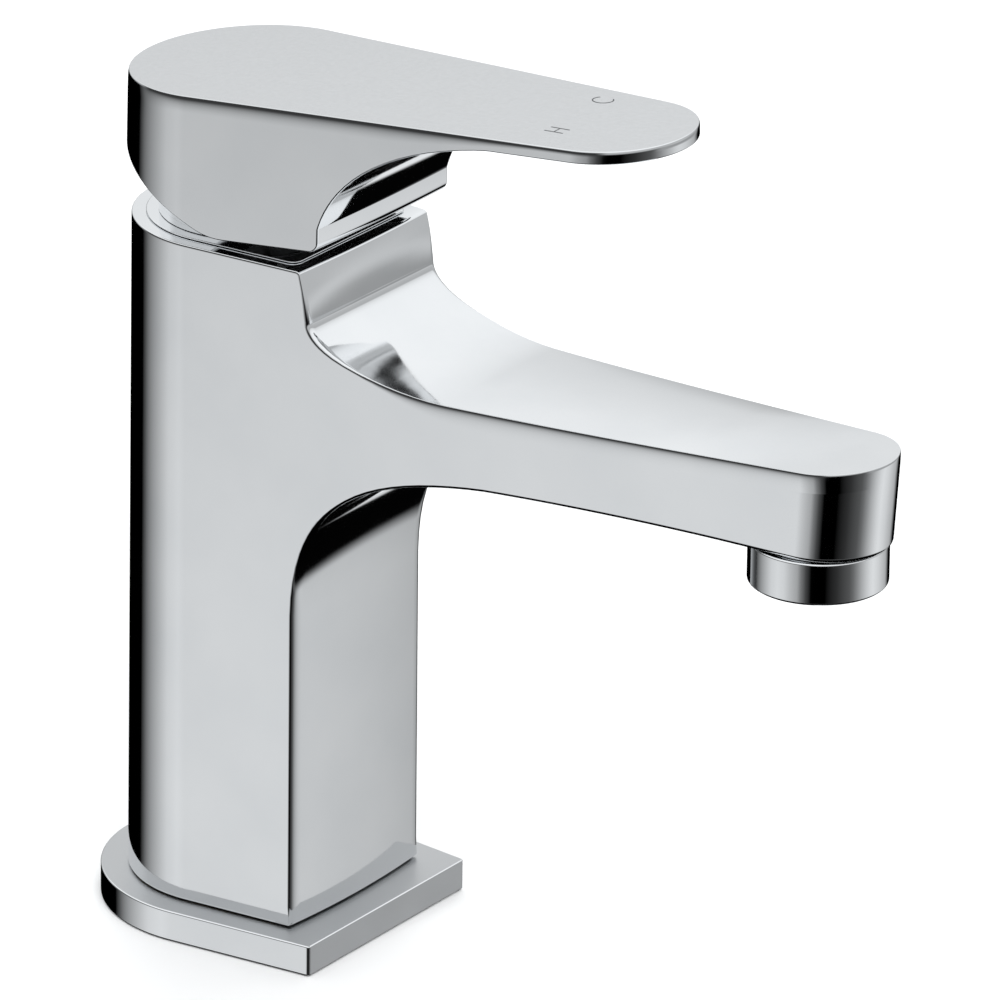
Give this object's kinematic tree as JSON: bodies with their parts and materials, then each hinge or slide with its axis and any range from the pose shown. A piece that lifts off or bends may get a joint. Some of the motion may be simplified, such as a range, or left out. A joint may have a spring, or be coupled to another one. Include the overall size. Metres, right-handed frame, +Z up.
{
  "type": "basin mixer tap",
  "caption": "Deck-mounted basin mixer: chromed body with a fixed spout, a flat teardrop lever that lifts and turns, a base plate and an aerator.",
  "frame": {"origin": "on the body's axis, on the face that stands on the basin", "axes": "+Z up along the body, -Y along the spout and the lever towards the user, +X to the user's right (cold side)"},
  "size_m": [0.0576, 0.1767, 0.1808],
  "materials": {
    "chrome": "polished",
    "brass": "machined",
    "steel": "brushed",
    "white_acetal": "moulded",
    "grey_acetal": "moulded",
    "blue_acetal": "moulded",
    "ceramic": "lapped",
    "rubber": "matte"
  },
  "bodies": {
    "root": {"body": "chrome", "inlet_block": "brass", "base_plate": "chrome", "plate_seal": "rubber", "deck_gasket": "rubber", "trim_plate": "chrome", "cartridge_nut": "brass", "cartridge_housing": "white_acetal", "cartridge_base": "white_acetal", "port_seal": "rubber", "fixed_disc": "ceramic", "carrier_seal": "rubber", "aerator_housing": "chrome", "aerator_washer": "rubber", "aerator_insert": "white_acetal", "flow_regulator": "grey_acetal", "aerator_screen": "steel"},
    "carrier": {"spindle_carrier": "grey_acetal", "spindle_pin": "steel", "temperature_stop": "blue_acetal"},
    "lever": {"handle": "chrome", "spindle": "steel", "grub_screw": "steel", "screw_cap": "chrome"},
    "discs": {"disc_carriage": "grey_acetal", "moving_disc": "ceramic"}
  },
  "joints": [
    {"name": "handle_turn", "type": "hinge", "parent": "root", "child": "carrier", "pos_m": [0, 0, 0.132], "axis": [0, 0, 1], "range_deg": [-45, 45]},
    {"name": "handle_lift", "type": "hinge", "parent": "carrier", "child": "lever", "pos_m": [0, 0, 0.132], "axis": [-1, 0, 0], "range_deg": [0, 25]},
    {"name": "disc_slide", "type": "slide", "parent": "carrier", "child": "discs", "axis": [0, -1, 0], "range_m": [0, 0.0036]}
  ],
  "couplings": [
    {"joint": "disc_slide", "follows": "handle_lift", "m_per_rad": 0.008}
  ]
}
